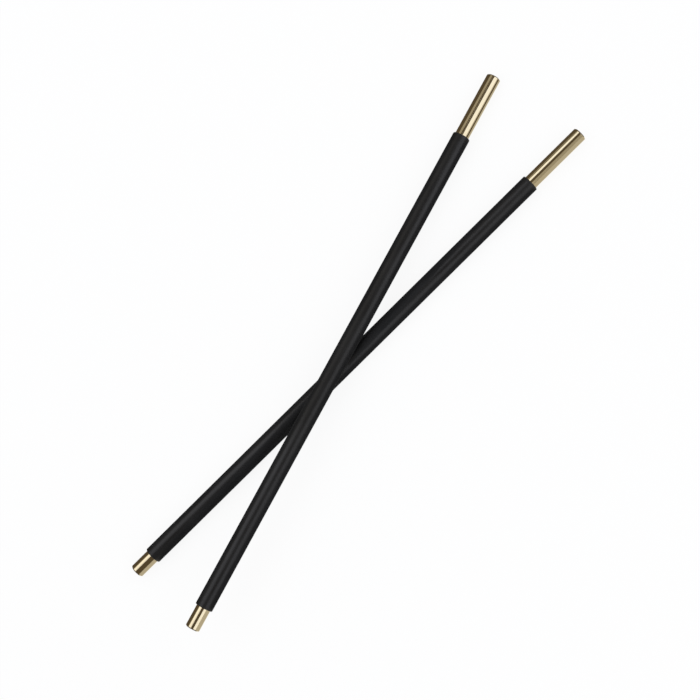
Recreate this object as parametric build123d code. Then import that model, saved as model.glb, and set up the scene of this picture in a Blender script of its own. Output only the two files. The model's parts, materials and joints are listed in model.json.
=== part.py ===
from build123d import *
import math
import os

# A matched pair of straight brass rods with black grip sleeves, laid across each other.
# Each rod is a brass tube, closed by a plug at each end, in a tight sleeve that leaves a
# long bare end and a short bare end. The lower rod lies along +X on the surface z = 0.
# The upper rod crosses over it, with its long bare end down on the same surface.
# Millimetres. The origin is the centre of the pair's box, on the surface.

# --- driving dimensions ---------------------------------------------------------------
ROD_LENGTH = 254.0          # end to end, 10 inches
TUBE_DIAMETER = 6.0         # bare brass, outside
TUBE_WALL = 0.7
END_CHAMFER = 0.4           # outer edge of each tube end, 45 degrees

LONG_BARE_END = 28.0        # brass showing beyond the sleeve
SHORT_BARE_END = 9.4
SLEEVE_WALL = 0.7
SLEEVE_LIP_RADIUS = 0.3     # rounding of the sleeve's cut edges
SLEEVE_FIT = 0.0            # radial gap between sleeve and tube, shrunk tight
MOST_OF_WALL = 0.45         # a lip's rounding takes no more of the sleeve's wall than this

PLUG_LENGTH = 8.0
PLUG_LEAD = 0.5             # chamfer on the plug's inner end
PLUG_FIT = 0.0              # radial gap between plug and tube, pressed in

CROSSING_ANGLE = 17.8       # between the rods, seen from above, degrees
LOWER_PAST_MIDDLE = 12.0    # from the lower rod's middle to the crossing, towards its short end
UPPER_PAST_MIDDLE = 11.5    # the same on the upper rod, whose weight keeps its long end down
CROSSING_GAP = 0.05         # the rods touch there, with this much air

TILT_STEPS = 20             # rounds of the upper rod's tilt, which settles in a few

# --- worked out from them -------------------------------------------------------------
TUBE_RADIUS = TUBE_DIAMETER / 2
TUBE_BORE_RADIUS = TUBE_RADIUS - TUBE_WALL
SLEEVE_BORE_RADIUS = TUBE_RADIUS + SLEEVE_FIT
SLEEVE_RADIUS = SLEEVE_BORE_RADIUS + SLEEVE_WALL
SLEEVE_LENGTH = ROD_LENGTH - LONG_BARE_END - SHORT_BARE_END
PLUG_RADIUS = TUBE_BORE_RADIUS - PLUG_FIT
LOWER_CROSSING = ROD_LENGTH / 2 + LOWER_PAST_MIDDLE     # from the rod's long bare end
UPPER_CROSSING = ROD_LENGTH / 2 + UPPER_PAST_MIDDLE


# --- pieces of one rod, along -X from the centre of its long bare end -----------------
def turned(*corners):
    """A solid of revolution about X from the corners (x, radius) of half its section."""
    outline = Polyline(*corners, close=True)
    return revolve(make_face(Plane.XY * outline), axis=Axis.X)


def make_tube():
    """Brass tube, chamfered on the outside at both ends."""
    far_end = -ROD_LENGTH
    return turned(
        (0, TUBE_BORE_RADIUS),
        (0, TUBE_RADIUS - END_CHAMFER),
        (-END_CHAMFER, TUBE_RADIUS),
        (far_end + END_CHAMFER, TUBE_RADIUS),
        (far_end, TUBE_RADIUS - END_CHAMFER),
        (far_end, TUBE_BORE_RADIUS),
    )


def make_plug():
    """Solid plug, its outer face flush with the tube's long bare end."""
    return turned(
        (0, 0),
        (0, PLUG_RADIUS),
        (PLUG_LEAD - PLUG_LENGTH, PLUG_RADIUS),
        (-PLUG_LENGTH, PLUG_RADIUS - PLUG_LEAD),
        (-PLUG_LENGTH, 0),
    )


def make_sleeve():
    """Grip sleeve in its place on the tube, with rounded lips on both cut ends."""
    near_end = -LONG_BARE_END
    far_end = near_end - SLEEVE_LENGTH
    sleeve = turned(
        (near_end, SLEEVE_BORE_RADIUS),
        (near_end, SLEEVE_RADIUS),
        (far_end, SLEEVE_RADIUS),
        (far_end, SLEEVE_BORE_RADIUS),
    )
    middle_radius = (SLEEVE_BORE_RADIUS + SLEEVE_RADIUS) / 2
    lips = [
        edge
        for edge in sleeve.edges().filter_by(GeomType.CIRCLE)
        if edge.radius > middle_radius
    ]
    return fillet(lips, min(SLEEVE_LIP_RADIUS, MOST_OF_WALL * SLEEVE_WALL))


def make_rod(name):
    """The four pieces of one rod, by node name."""
    return {
        f"{name}_tube": make_tube(),
        f"{name}_sleeve": make_sleeve(),
        f"{name}_long_end_plug": make_plug(),
        f"{name}_short_end_plug": Pos(-ROD_LENGTH, 0, 0) * Rot(0, 0, 180) * make_plug(),
    }


# --- how the two rods lie -------------------------------------------------------------
def axis_gap(tilt):
    """Height between the two axes over the crossing, where the sleeves touch."""
    slope_ratio = math.tan(tilt) / math.sin(math.radians(CROSSING_ANGLE))
    return (2 * SLEEVE_RADIUS + CROSSING_GAP) * math.hypot(1, slope_ratio)


def end_height(tilt):
    """Height of the middle of the upper rod's long bare end, whose lowest edge is at 0."""
    on_tube_edge = TUBE_RADIUS * math.cos(tilt) - END_CHAMFER * math.sin(tilt)
    on_sleeve_lip = SLEEVE_RADIUS * math.cos(tilt) - LONG_BARE_END * math.sin(tilt)
    return max(on_tube_edge, on_sleeve_lip)


def rest_tilt():
    """Slope of the upper rod, in radians, down from the crossing to its long bare end."""
    tilt = 0.0
    for _ in range(TILT_STEPS):
        drop = SLEEVE_RADIUS + axis_gap(tilt) - end_height(tilt)
        tilt = math.asin(drop / UPPER_CROSSING)
    return tilt


def rod_places():
    """Place of each rod's long bare end, with the crossing at the origin of X and Y."""
    tilt = rest_tilt()
    lower = Pos(LOWER_CROSSING, 0, SLEEVE_RADIUS)
    upper = (
        Pos(0, 0, SLEEVE_RADIUS + axis_gap(tilt))
        * Rot(0, 0, CROSSING_ANGLE)
        * Rot(0, math.degrees(tilt), 0)
        * Pos(UPPER_CROSSING, 0, 0)
    )
    return {"lower_rod": lower, "upper_rod": upper}


def to_box_centre(pieces):
    """Move that brings the middle of the pieces' box, at its lowest height, to the origin."""
    solids = [solid for piece in pieces for solid in piece.solids()]
    box = Compound(solids).bounding_box()
    return Pos(-box.center().X, -box.center().Y, -box.min.Z)


places = rod_places()
nodes = {
    node: place * piece
    for name, place in places.items()
    for node, piece in make_rod(name).items()
}
to_origin = to_box_centre(nodes.values())

os.makedirs("parts", exist_ok=True)
for node, piece in nodes.items():
    export_step(to_origin * piece, f"parts/{node}.step")
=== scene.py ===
import json
import math

import bmesh
import bpy
from mathutils import Matrix, Vector, noise


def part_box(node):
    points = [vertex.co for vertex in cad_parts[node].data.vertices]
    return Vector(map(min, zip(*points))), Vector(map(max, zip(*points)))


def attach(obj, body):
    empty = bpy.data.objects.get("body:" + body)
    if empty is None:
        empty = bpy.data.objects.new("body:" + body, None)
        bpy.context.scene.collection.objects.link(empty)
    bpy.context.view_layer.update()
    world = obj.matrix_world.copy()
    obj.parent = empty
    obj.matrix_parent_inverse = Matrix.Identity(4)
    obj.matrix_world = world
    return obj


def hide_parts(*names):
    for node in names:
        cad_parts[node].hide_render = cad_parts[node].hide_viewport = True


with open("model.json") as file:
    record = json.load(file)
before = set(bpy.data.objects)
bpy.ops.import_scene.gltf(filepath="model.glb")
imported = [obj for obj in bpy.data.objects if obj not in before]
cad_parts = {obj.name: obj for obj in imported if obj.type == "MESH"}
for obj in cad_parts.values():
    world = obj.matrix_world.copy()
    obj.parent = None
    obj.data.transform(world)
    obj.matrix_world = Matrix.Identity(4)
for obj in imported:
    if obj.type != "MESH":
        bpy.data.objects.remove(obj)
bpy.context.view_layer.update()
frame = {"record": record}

# Two straight brass rods in black grip sleeves, laid across each other on a pale surface.
# Every piece is turned about its rod's axis. A rod's own frame has the centre of its long
# bare end at the origin and the rod along -X. Metres.

MM = 0.001
MOUNTS = {mount["name"]: mount for mount in frame["record"]["mounts"]}

# --- sizes, read off the CAD pieces of the rod that lies along X ----------------------
tube_low, tube_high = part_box("lower_rod_tube")
sleeve_low, sleeve_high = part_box("lower_rod_sleeve")
plug_low, plug_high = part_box("lower_rod_long_end_plug")
ROD_LENGTH = tube_high.x - tube_low.x
TUBE_RADIUS = (tube_high.y - tube_low.y) / 2
SLEEVE_RADIUS = (sleeve_high.y - sleeve_low.y) / 2
PLUG_RADIUS = (plug_high.y - plug_low.y) / 2
PLUG_LENGTH = plug_high.x - plug_low.x
SLEEVE_START = tube_high.x - sleeve_high.x
SLEEVE_END = tube_high.x - sleeve_low.x

# --- small shapes that only the looks need --------------------------------------------
SEGMENTS = 128              # round a rod
CHAMFER = 0.40 * MM         # on the tube's ends
EDGE_ROUND = 0.06 * MM      # worn edges of the brass
SEAM_ROUND = 0.05 * MM      # edges of the fine ring between plug and tube
LIP_ROUND = 0.30 * MM       # sleeve's outer cut edge
BORE_ROUND = 0.08 * MM      # sleeve's inner cut edge
RING_STEP = 1.2 * MM        # between the rings of a sleeve's mesh
PLUG_CROWN = 0.02 * MM      # how far a plug's rim falls back from its middle
CROWN_RINGS = 6             # of the mesh, from a plug's middle to its rim
RIPPLE = 0.012 * MM         # how far the sleeve's skin strays from round
RIPPLE_PACE = 1.3           # ripples in one radius' length, round the sleeve
RIPPLE_STRETCH = 0.16       # ripples are this much slower along the rod than round it
RIPPLE_INWARD = 0.5         # taken off the noise of -1 to 1, so that the skin strays mostly inward


def arc(centre_s, centre_r, radius, start, end, steps=4):
    """Points (s, r) on an arc of a section; angles in degrees from +s towards +r."""
    points = []
    for step in range(steps + 1):
        angle = math.radians(start + (end - start) * step / steps)
        s = centre_s + radius * math.cos(angle)
        r = centre_r + radius * math.sin(angle)
        points.append((s, r))
    return points


def turned(name, section, ripple=0.0, seed=0.0):
    """A closed solid turned from a closed section of (s, r), s being measured along -X."""
    mesh = bpy.data.meshes.new(name)
    form = bmesh.new()
    rings = []
    for s, r in section:
        if r <= 0:
            rings.append([form.verts.new((-s, 0, 0))])
            continue
        ring = []
        for index in range(SEGMENTS):
            angle = 2 * math.pi * index / SEGMENTS
            y, z = math.cos(angle), math.sin(angle)
            swell = 0.0
            if ripple:
                spot = Vector((s / TUBE_RADIUS * RIPPLE_STRETCH + seed, y, z))
                swell = ripple * (noise.noise(spot * RIPPLE_PACE) - RIPPLE_INWARD)
            ring.append(form.verts.new((-s, (r + swell) * y, (r + swell) * z)))
        rings.append(ring)
    for here, there in zip(rings, rings[1:] + rings[:1]):
        join_rings(form, here, there)
    bmesh.ops.recalc_face_normals(form, faces=form.faces)
    for face in form.faces:
        face.smooth = True
    form.to_mesh(mesh)
    form.free()
    return bpy.data.objects.new(name, mesh)


def join_rings(form, here, there):
    """Faces between two neighbouring rings, either of which may be one point on the axis."""
    if len(here) == 1 and len(there) == 1:
        return
    for index in range(SEGMENTS):
        after = (index + 1) % SEGMENTS
        if len(here) == 1:
            corners = (here[0], there[index], there[after])
        elif len(there) == 1:
            corners = (here[index], there[0], here[after])
        else:
            corners = (here[index], there[index], there[after], here[after])
        form.faces.new(corners)


# --- sections -------------------------------------------------------------------------
def mirrored(half, length):
    """A whole section, from the half at one end of a piece that is this long."""
    return half + [(length - s, r) for s, r in reversed(half)]


def tube_section():
    """Brass tube: seam edge, end face, worn chamfer, outside, and back along the bore."""
    near = arc(SEAM_ROUND, PLUG_RADIUS + SEAM_ROUND, SEAM_ROUND, 270, 180)
    near += arc(EDGE_ROUND, TUBE_RADIUS - CHAMFER, EDGE_ROUND, 180, 135, 2)
    near += arc(CHAMFER, TUBE_RADIUS - EDGE_ROUND, EDGE_ROUND, 135, 90, 2)
    near += [(CHAMFER + EDGE_ROUND, TUBE_RADIUS)]
    return mirrored(near, ROD_LENGTH)


def plug_section():
    """Plug, whose outer face is very slightly crowned and whose rim is rounded."""
    face = [(0.0, 0.0)]
    for ring in range(1, CROWN_RINGS):
        r = (PLUG_RADIUS - SEAM_ROUND) * ring / CROWN_RINGS
        face.append((PLUG_CROWN * (r / PLUG_RADIUS) ** 2, r))
    face += arc(PLUG_CROWN + SEAM_ROUND, PLUG_RADIUS - SEAM_ROUND, SEAM_ROUND, 180, 90)
    return face + [(PLUG_LENGTH, PLUG_RADIUS), (PLUG_LENGTH, 0.0)]


def sleeve_section():
    """Sleeve from one cut end to the other, its lips rounded, and back along its bore."""
    length = SLEEVE_END - SLEEVE_START
    near = arc(BORE_ROUND, TUBE_RADIUS + BORE_ROUND, BORE_ROUND, 270, 180, 3)
    near += arc(LIP_ROUND, SLEEVE_RADIUS - LIP_ROUND, LIP_ROUND, 180, 90, 6)
    straight = length - 2 * LIP_ROUND
    rings = round(straight / RING_STEP)
    middle = [(LIP_ROUND + straight * ring / rings, SLEEVE_RADIUS) for ring in range(1, rings)]
    far = [(length - s, r) for s, r in reversed(near)]
    return [(SLEEVE_START + s, r) for s, r in near + middle + far]


# --- materials ------------------------------------------------------------------------
class Nodes:
    """A short way to write the nodes of a material or of the world."""

    def __init__(self, tree):
        self.tree = tree

    def add(self, kind, settings=None, **inputs):
        node = self.tree.nodes.new(kind)
        for key, value in (settings or {}).items():
            setattr(node, key, value)
        for key, value in inputs.items():
            self.feed(node.inputs[key], value)
        return node

    def feed(self, socket, value):
        """Link a socket to another node's output, or set its value."""
        if isinstance(value, bpy.types.NodeSocket):
            self.tree.links.new(value, socket)
        else:
            socket.default_value = value

    def scaled(self, vector, scale):
        """A vector multiplied by another, axis by axis."""
        node = self.add("ShaderNodeVectorMath", {"operation": "MULTIPLY"})
        self.feed(node.inputs[0], vector)
        self.feed(node.inputs[1], scale)
        return node.outputs[0]

    def noise(self, vector, scale, detail, roughness):
        node = self.add("ShaderNodeTexNoise", Vector=vector, Scale=scale, Detail=detail,
                        Roughness=roughness)
        return node.outputs["Fac"]

    def stretched_noise(self, vector, scales, detail, roughness):
        """Noise with a scale of its own along each axis."""
        return self.noise(self.scaled(vector, scales), 1.0, detail, roughness)

    def ramp(self, value, low, high, to_low=0.0, to_high=1.0):
        """A value carried from one range to another, and held at its ends."""
        node = self.add("ShaderNodeMapRange")
        self.feed(node.inputs["Value"], value)
        ends = {"From Min": low, "From Max": high, "To Min": to_low, "To Max": to_high}
        for name, number in ends.items():
            self.feed(node.inputs[name], number)
        return node.outputs["Result"]

    def mix(self, factor, first, second):
        """Two colours mixed. A mix node keeps its colours in sockets 6 and 7, and gives them in 2."""
        node = self.add("ShaderNodeMix", {"data_type": "RGBA"})
        self.feed(node.inputs["Factor"], factor)
        self.feed(node.inputs[6], first)
        self.feed(node.inputs[7], second)
        return node.outputs[2]

    def blend(self, factor, first, second):
        """Two shaders mixed."""
        node = self.add("ShaderNodeMixShader", Fac=factor)
        self.feed(node.inputs[1], first.outputs[0])
        self.feed(node.inputs[2], second.outputs[0])
        return node.outputs[0]

    def math(self, operation, first, second):
        node = self.add("ShaderNodeMath", {"operation": operation})
        self.feed(node.inputs[0], first)
        self.feed(node.inputs[1], second)
        return node.outputs[0]


def blank_nodes(owner):
    """Turn on the nodes of a material or of the world, and clear them."""
    owner.use_nodes = True
    owner.node_tree.nodes.clear()
    return Nodes(owner.node_tree)


def new_material(name):
    """A material, its nodes, its shader, and the place on the object for its noises."""
    material = bpy.data.materials.new(name)
    nodes = blank_nodes(material)
    shader = nodes.add("ShaderNodeBsdfPrincipled")
    nodes.add("ShaderNodeOutputMaterial", Surface=shader.outputs[0])
    place = nodes.add("ShaderNodeTexCoord").outputs["Object"]
    return material, nodes, shader, place


BRASS = (0.88, 0.775, 0.53, 1)
BRASS_WARM = (0.83, 0.70, 0.44, 1)
BRASS_DULL = (0.46, 0.35, 0.20, 1)

# Scales are in cells of noise for each metre: along the rod and twice across it, or one for all.
CLOUD_SCALES = (90, 220, 220)
HAIRLINE_SCALES = (260, 9000, 9000)
SCUFF_SCALES = (5200, 900, 900)
SPECK_SCALE = 2600.0
RING_SCALE = 2600.0
BRASS_RELIEF = 0.01 * MM    # depth of the marks


def brass_material(name, turned_face=False):
    """Polished brass with faint handling marks; end faces also show fine turning rings."""
    material, nodes, shader, place = new_material(name)
    shader.inputs["Metallic"].default_value = 1.0
    clouds = nodes.stretched_noise(place, CLOUD_SCALES, 4.0, 0.6)
    hairlines = nodes.stretched_noise(place, HAIRLINE_SCALES, 2.0, 0.6)
    scuffs = nodes.stretched_noise(place, SCUFF_SCALES, 3.0, 0.7)
    specks = nodes.ramp(nodes.noise(place, SPECK_SCALE, 2.0, 0.5), 0.70, 0.78)
    toned = nodes.mix(nodes.ramp(clouds, 0.42, 0.75, 0.0, 0.55), BRASS, BRASS_WARM)
    colour = nodes.mix(nodes.math("MULTIPLY", specks, 0.5), toned, BRASS_DULL)
    nodes.feed(shader.inputs["Base Color"], colour)
    cloud_rough = nodes.ramp(clouds, 0.3, 0.8, 0.05, 0.10)
    rough = nodes.math("ADD", cloud_rough, nodes.math("MULTIPLY", scuffs, 0.05))
    rough = nodes.math("ADD", rough, nodes.math("MULTIPLY", specks, 0.2))
    nodes.feed(shader.inputs["Roughness"], rough)
    scuff_height = nodes.math("MULTIPLY", scuffs, 0.35)
    height = nodes.math("ADD", nodes.math("MULTIPLY", hairlines, 0.5), scuff_height)
    if turned_face:
        rings = nodes.add("ShaderNodeTexWave", {"wave_type": "RINGS", "rings_direction": "X"},
                          Vector=place, Scale=RING_SCALE, Distortion=0.6, Detail=1.0)
        height = nodes.math("ADD", height, nodes.math("MULTIPLY", rings.outputs["Fac"], 0.8))
    bump = nodes.add("ShaderNodeBump", Strength=0.05, Distance=BRASS_RELIEF, Height=height)
    nodes.feed(shader.inputs["Normal"], bump.outputs[0])
    return material


RUBBER = (0.0075, 0.0075, 0.0080, 1)
RUBBER_PALE = (0.0120, 0.0120, 0.0125, 1)
# lighter grey painted at the sleeve's ends, a painted highlight on their rounded lips
RUBBER_LIP_HIGHLIGHT = (0.022, 0.022, 0.023, 1)

MOTTLE_SCALES = (60, 260, 260)
LINE_SCALES = (35, 2600, 2600)
SKIN_SCALE = 6500.0
RUBBER_RELIEF = 0.03 * MM   # depth of the skin's grain
LIP_HIGHLIGHT_FROM = 0.05 * MM        # from a sleeve's end, where the painted highlight on its rounded lip begins to fade
LIP_HIGHLIGHT_TO = 0.45 * MM          # and where it has gone


def rubber_material(name):
    """Matte black grip sleeve: fine skin, faint lines along it, and a painted highlight of lighter
    grey at its rounded end lips.
    """
    material, nodes, shader, place = new_material(name)
    mottle = nodes.stretched_noise(place, MOTTLE_SCALES, 4.0, 0.6)
    skin = nodes.noise(place, SKIN_SCALE, 3.0, 0.6)
    lines = nodes.stretched_noise(place, LINE_SCALES, 3.0, 0.55)
    body = nodes.mix(nodes.ramp(mottle, 0.35, 0.75), RUBBER, RUBBER_PALE)
    along = nodes.add("ShaderNodeSeparateXYZ", Vector=place).outputs["X"]
    # Painted highlight: lighter grey within a fraction of a millimetre of each sleeve end stands in
    # for the light on its rounded lip; the roughness is raised there too.
    from_start = nodes.math("ADD", nodes.math("MULTIPLY", along, -1.0), -SLEEVE_START)
    from_end = nodes.math("ADD", along, SLEEVE_END)
    from_sleeve_end = nodes.math("MINIMUM", from_start, from_end)
    painted_lip_highlight = nodes.ramp(from_sleeve_end, LIP_HIGHLIGHT_FROM, LIP_HIGHLIGHT_TO, 1.0, 0.0)
    nodes.feed(shader.inputs["Base Color"], nodes.mix(painted_lip_highlight, body, RUBBER_LIP_HIGHLIGHT))
    mottle_rough = nodes.ramp(mottle, 0.3, 0.8, 0.33, 0.42)
    rough = nodes.math("ADD", mottle_rough, nodes.math("MULTIPLY", painted_lip_highlight, 0.2))
    nodes.feed(shader.inputs["Roughness"], rough)
    line_height = nodes.math("MULTIPLY", lines, 0.9)
    height = nodes.math("ADD", nodes.math("MULTIPLY", skin, 0.5), line_height)
    bump = nodes.add("ShaderNodeBump", Strength=0.25, Distance=RUBBER_RELIEF, Height=height)
    nodes.feed(shader.inputs["Normal"], bump.outputs[0])
    return material


# --- the two rods ---------------------------------------------------------------------
def rod_frame(rod):
    """Place of a rod's own frame, from the flat face at its long bare end."""
    face = MOUNTS[f"{rod}_long_end_face"]
    x_axis = Vector(face["axis"]).normalized()
    y_axis = Vector((0, 0, 1)).cross(x_axis).normalized()
    z_axis = x_axis.cross(y_axis)
    place = Matrix((x_axis, y_axis, z_axis)).transposed().to_4x4()
    place.translation = Vector(face["pos_m"])
    return place


def add_piece(piece, place, body, node, material):
    """Put a piece in its rod's frame, let it ride, and let it stand for its CAD node."""
    bpy.context.scene.collection.objects.link(piece)
    piece.matrix_world = place
    piece.data.materials.append(material)
    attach(piece, body)
    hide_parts(node)


def far_frame(place):
    """A rod's frame turned round, and moved to the rod's short bare end."""
    return place @ Matrix.Translation((-ROD_LENGTH, 0, 0)) @ Matrix.Rotation(math.pi, 4, "Z")


def add_rod(rod, seed, tube_finish, plug_finish, sleeve_finish):
    """Tube, sleeve and the two end plugs of one rod; the seed gives its sleeve's ripples."""
    place = rod_frame(rod)
    tube = turned(f"{rod}_brass_tube", tube_section())
    add_piece(tube, place, rod, f"{rod}_tube", tube_finish)
    sleeve = turned(f"{rod}_grip_sleeve", sleeve_section(), RIPPLE, seed)
    add_piece(sleeve, place, rod, f"{rod}_sleeve", sleeve_finish)
    long_plug = turned(f"{rod}_long_end_disc", plug_section())
    add_piece(long_plug, place, rod, f"{rod}_long_end_plug", plug_finish)
    short_plug = turned(f"{rod}_short_end_disc", plug_section())
    add_piece(short_plug, far_frame(place), rod, f"{rod}_short_end_plug", plug_finish)


tube_brass = brass_material("polished_brass")
plug_brass = brass_material("turned_brass", turned_face=True)
black_rubber = rubber_material("black_grip")
for rod, ripple_seed in (("lower_rod", 3.1), ("upper_rod", 17.4)):
    add_rod(rod, ripple_seed, tube_brass, plug_brass, black_rubber)


# --- floor, surroundings and lamps ----------------------------------------------------
FLOOR_HALF = 3.0            # from the middle of the floor to its edges
WHITE = (1, 1, 1, 1)
PAPER = (0.90, 0.90, 0.90, 1)
FLOOR_WHITE_SHARE = 0.89    # of the floor where it is seen; the rest is lit paper, with the shadow
EVEN_LIGHT = 0.74           # of the world as a light, when white is 1

SOFTBOX_HEIGHT = 0.60
OVER_SOFTBOXES = 0.62
UNDER_SOFTBOXES = 0.59
ROOM_HEIGHT = 0.66
ROOM_REACH = 1.60           # from the pair to the upright cards
FRONT_GAP = 0.02            # from the upright card in front to the dim one before it

EDGE_FOOT = Vector((0, 4.2, -2.9)) * MM     # of the edge cards, from a rod's axis, across it and up
EDGE_TOP = Vector((0, 15.0, 7.0)) * MM
STRIP_LOW = 0.27            # shares of the way up an edge card
STRIP_HIGH = 0.57
STRIP_CLOSER = 0.3 * MM     # from the edge card to the strip in front of it

FLAG_HEIGHT = 47.0 * MM     # over a rod's axis
FLAG_START = -28.0 * MM     # along a rod from its long bare end
FLAG_END = 165.0 * MM
DARK_FLAG_NEAR = 4.0 * MM   # across a rod from its axis
FLAG_SEAM = 16.5 * MM
DIM_FLAG_FAR = 49.0 * MM

COOL_WHITE = (1.0, 1.03, 1.14)
DARK = (0.090, 0.070, 0.046)
BLACK = (0.075, 0.075, 0.075)
DIM = (0.34, 0.31, 0.26)
GREY = (0.50, 0.47, 0.425)


def seen_directly(nodes):
    """1 for rays from the camera, off gloss and through glass, 0 for light."""
    path = nodes.add("ShaderNodeLightPath")
    seen = nodes.math("MAXIMUM", path.outputs["Is Camera Ray"], path.outputs["Is Glossy Ray"])
    return nodes.math("MAXIMUM", seen, path.outputs["Is Transmission Ray"])


def flat_sheet(name, corners, material):
    """A flat sheet with four corners."""
    mesh = bpy.data.meshes.new(name)
    mesh.from_pydata(corners, [], [(0, 1, 2, 3)])
    mesh.materials.append(material)
    sheet = bpy.data.objects.new(name, mesh)
    bpy.context.scene.collection.objects.link(sheet)
    return sheet


def add_floor():
    """Pale paper that is nearly white where it is seen, and keeps a faint shadow."""
    material = bpy.data.materials.new("pale_floor")
    nodes = blank_nodes(material)
    paper = nodes.add("ShaderNodeBsdfDiffuse", Color=PAPER)
    white = nodes.add("ShaderNodeEmission", Color=WHITE, Strength=1.0)
    share = nodes.math("MULTIPLY", seen_directly(nodes), FLOOR_WHITE_SHARE)
    nodes.add("ShaderNodeOutputMaterial", Surface=nodes.blend(share, paper, white))
    signs = ((-1, -1), (1, -1), (1, 1), (-1, 1))
    corners = [(x * FLOOR_HALF, y * FLOOR_HALF, 0) for x, y in signs]
    floor = flat_sheet("floor", corners, material)


def add_world():
    """White where it is seen, and a plain even light."""
    world = bpy.data.worlds.new("room")
    bpy.context.scene.world = world
    nodes = blank_nodes(world)
    even = nodes.add("ShaderNodeBackground", Color=WHITE, Strength=EVEN_LIGHT)
    white = nodes.add("ShaderNodeBackground", Color=WHITE, Strength=1.0)
    nodes.add("ShaderNodeOutputWorld", Surface=nodes.blend(seen_directly(nodes), even, white))


def add_card(name, centre, across, up, shade):
    """A card that only reflections see, as a photographer puts round shiny metal."""
    material = bpy.data.materials.new(name)
    nodes = blank_nodes(material)
    glow = nodes.add("ShaderNodeEmission", Color=(*shade, 1), Strength=1.0)
    nodes.add("ShaderNodeOutputMaterial", Surface=glow.outputs[0])
    centre = Vector(centre)
    across = Vector(across) / 2
    up = Vector(up) / 2
    corners = [centre - across - up, centre + across - up, centre + across + up, centre - across + up]
    card = flat_sheet(name, corners, material)
    card.visible_camera = False
    card.visible_diffuse = False
    card.visible_transmission = False
    card.visible_shadow = False


def add_level_card(name, centre, size, height, shade):
    add_card(name, (*centre, height), (size[0], 0, 0), (0, size[1], 0), shade)


def add_upright_cards():
    """Tall cards on all four sides of the pair: dark, but for the grey one in front."""
    sides = (("card_behind", 0, 1, DARK),
             ("card_in_front", 0, -1, GREY),
             ("card_to_the_right", 1, 0, DARK),
             ("card_to_the_left", -1, 0, DARK))
    for name, x, y, shade in sides:
        centre = (x * ROOM_REACH, y * ROOM_REACH, ROOM_HEIGHT / 2)
        across = (2 * ROOM_REACH * y, 2 * ROOM_REACH * x, 0)
        add_card(name, centre, across, (0, 0, ROOM_HEIGHT), shade)


def add_edge_card(name, place, start, end, way, shade, low=0.0, high=1.0, closer=0.0):
    """A card that slopes up beside a rod, behind it where way is 1 and in front where it is -1.

    Start and end are measured along the rod, low and high are shares of the way up the slope,
    and closer is how far the card is brought in towards the rod.
    """
    low_edge = EDGE_FOOT.lerp(EDGE_TOP, low)
    high_edge = EDGE_FOOT.lerp(EDGE_TOP, high)
    middle = (low_edge + high_edge) / 2
    middle = Vector((-(start + end) / 2, way * (middle.y - closer), middle.z))
    up = Vector((0, way * (high_edge.y - low_edge.y), high_edge.z - low_edge.z))
    turn = place.to_3x3()
    add_card(name, place @ middle, turn @ Vector((end - start, 0, 0)), turn @ up, shade)


def add_edge_cards(rod):
    """Cards that stand close round a rod and give it clear edges against the white floor."""
    place = rod_frame(rod)
    margin = EDGE_TOP.y
    stretches = (("long_end", -margin, SLEEVE_START, DARK, GREY),
                 ("sleeve", SLEEVE_START, SLEEVE_END, BLACK, BLACK),
                 ("short_end", SLEEVE_END, ROD_LENGTH + margin, DARK, GREY))
    for stretch, start, end, back_shade, front_shade in stretches:
        add_edge_card(f"{rod}_{stretch}_back_card", place, start, end, 1, back_shade)
        add_edge_card(f"{rod}_{stretch}_front_card", place, start, end, -1, front_shade)
    quarter = Matrix.Rotation(-math.pi / 2, 4, "Z")
    for tip, end_place in (("long", place), ("short", far_frame(place))):
        add_edge_card(f"{rod}_{tip}_tip_card", end_place @ quarter, -margin, margin, 1, DARK)


def add_front_strip(rod):
    """A narrow dark strip before the front card of a rod's long end, for a thin dark line."""
    add_edge_card(f"{rod}_front_strip", rod_frame(rod), -EDGE_TOP.y, SLEEVE_START, -1, DARK,
                  STRIP_LOW, STRIP_HIGH, STRIP_CLOSER)


def add_flags(rod):
    """Two level cards over a rod's long half, that hide the rear softbox from it."""
    place = rod_frame(rod)
    turn = place.to_3x3()
    across = Vector((FLAG_END - FLAG_START, 0, 0))
    flags = (("near", DARK_FLAG_NEAR, FLAG_SEAM, DARK), ("far", FLAG_SEAM, DIM_FLAG_FAR, DIM))
    for name, near, far, shade in flags:
        middle = Vector((-(FLAG_START + FLAG_END) / 2, (near + far) / 2, FLAG_HEIGHT))
        up = Vector((0, far - near, 0))
        add_card(f"{rod}_{name}_flag", place @ middle, turn @ across, turn @ up, shade)


def add_softbox(name, centre, size, brightness, turn=0.0):
    """A level soft lamp over the pair; white paper would have a brightness of 1."""
    lamp = bpy.data.lights.new(name, "AREA")
    lamp.shape = "RECTANGLE"
    lamp.size = size[0]
    lamp.size_y = size[1]
    lamp.energy = math.pi * lamp.size * lamp.size_y * brightness
    lamp.color = COOL_WHITE
    softbox = bpy.data.objects.new(name, lamp)
    bpy.context.scene.collection.objects.link(softbox)
    softbox.location = (*centre, SOFTBOX_HEIGHT)
    softbox.rotation_euler = (0, 0, math.radians(turn))
    softbox.visible_camera = False


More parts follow.
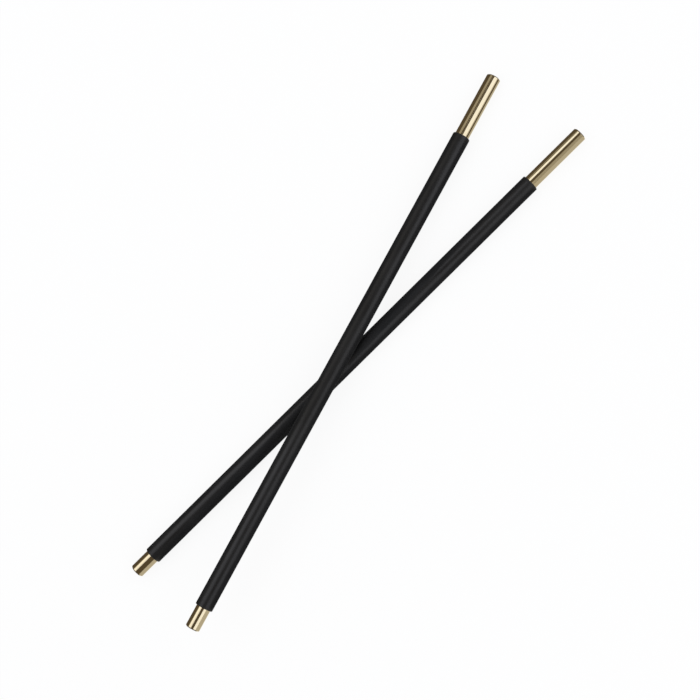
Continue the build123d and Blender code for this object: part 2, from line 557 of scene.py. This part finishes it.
add_floor()
add_world()
add_softbox("softbox_behind", (-0.150, 0.378), (0.81, 0.62), 0.82, 10)
add_softbox("softbox_in_front", (0.005, -0.92), (0.31, 1.16), 0.99)
add_softbox("softbox_to_the_right", (0.81, -0.81), (0.98, 1.50), 0.99)
add_level_card("dark_card_above", (0, 0), (2 * ROOM_REACH, 2 * ROOM_REACH), ROOM_HEIGHT, DARK)
add_level_card("dim_card_between_softboxes", (0.26, -0.91), (0.20, 1.28), OVER_SOFTBOXES, DIM)
add_level_card("dim_card_below_right_softbox", (0.41, -1.24), (0.22, 0.72), UNDER_SOFTBOXES, DIM)
add_level_card("dim_card_above_softbox", (-0.10, 0.60), (0.90, 0.76), OVER_SOFTBOXES, DIM)
add_level_card("dim_card_below_softbox", (0.23, 0.64), (0.26, 0.26), UNDER_SOFTBOXES, DIM)
add_card("dim_card_in_front", (1.05, FRONT_GAP - ROOM_REACH, ROOM_HEIGHT / 2),
         (0.90, 0, 0), (0, 0, 0.60), DIM)
add_upright_cards()
add_edge_cards("lower_rod")
add_edge_cards("upper_rod")
add_front_strip("upper_rod")
add_flags("upper_rod")


# --- camera ---------------------------------------------------------------------------
CAMERA_DISTANCE = 0.6110
CAMERA_ELEVATION = math.radians(77.7)
CAMERA_HEADING = math.radians(-76.7)     # of the camera from the pair, from +X towards +Y
PICTURE_UP = math.radians(46.25)         # what is up in the picture, from +X towards +Y
CAMERA_AIM = Vector((-0.68 * MM, 0.53 * MM, 0))
LENS_MM = 76.6
CLIP_START = 10 * MM


def heading(angle):
    """Level direction at an angle from +X towards +Y."""
    return Vector((math.cos(angle), math.sin(angle), 0))


def add_camera():
    toward = math.cos(CAMERA_ELEVATION) * heading(CAMERA_HEADING)
    toward.z = math.sin(CAMERA_ELEVATION)
    right = heading(PICTURE_UP).cross(toward).normalized()
    up = toward.cross(right)
    camera = bpy.data.objects.new("camera", bpy.data.cameras.new("camera"))
    camera.data.lens = LENS_MM
    camera.data.clip_start = CLIP_START
    bpy.context.scene.collection.objects.link(camera)
    camera.matrix_world = Matrix((right, up, toward)).transposed().to_4x4()
    camera.matrix_world.translation = CAMERA_AIM + toward * CAMERA_DISTANCE
    bpy.context.scene.camera = camera


add_camera()
bpy.context.scene.view_settings.view_transform = "Standard"
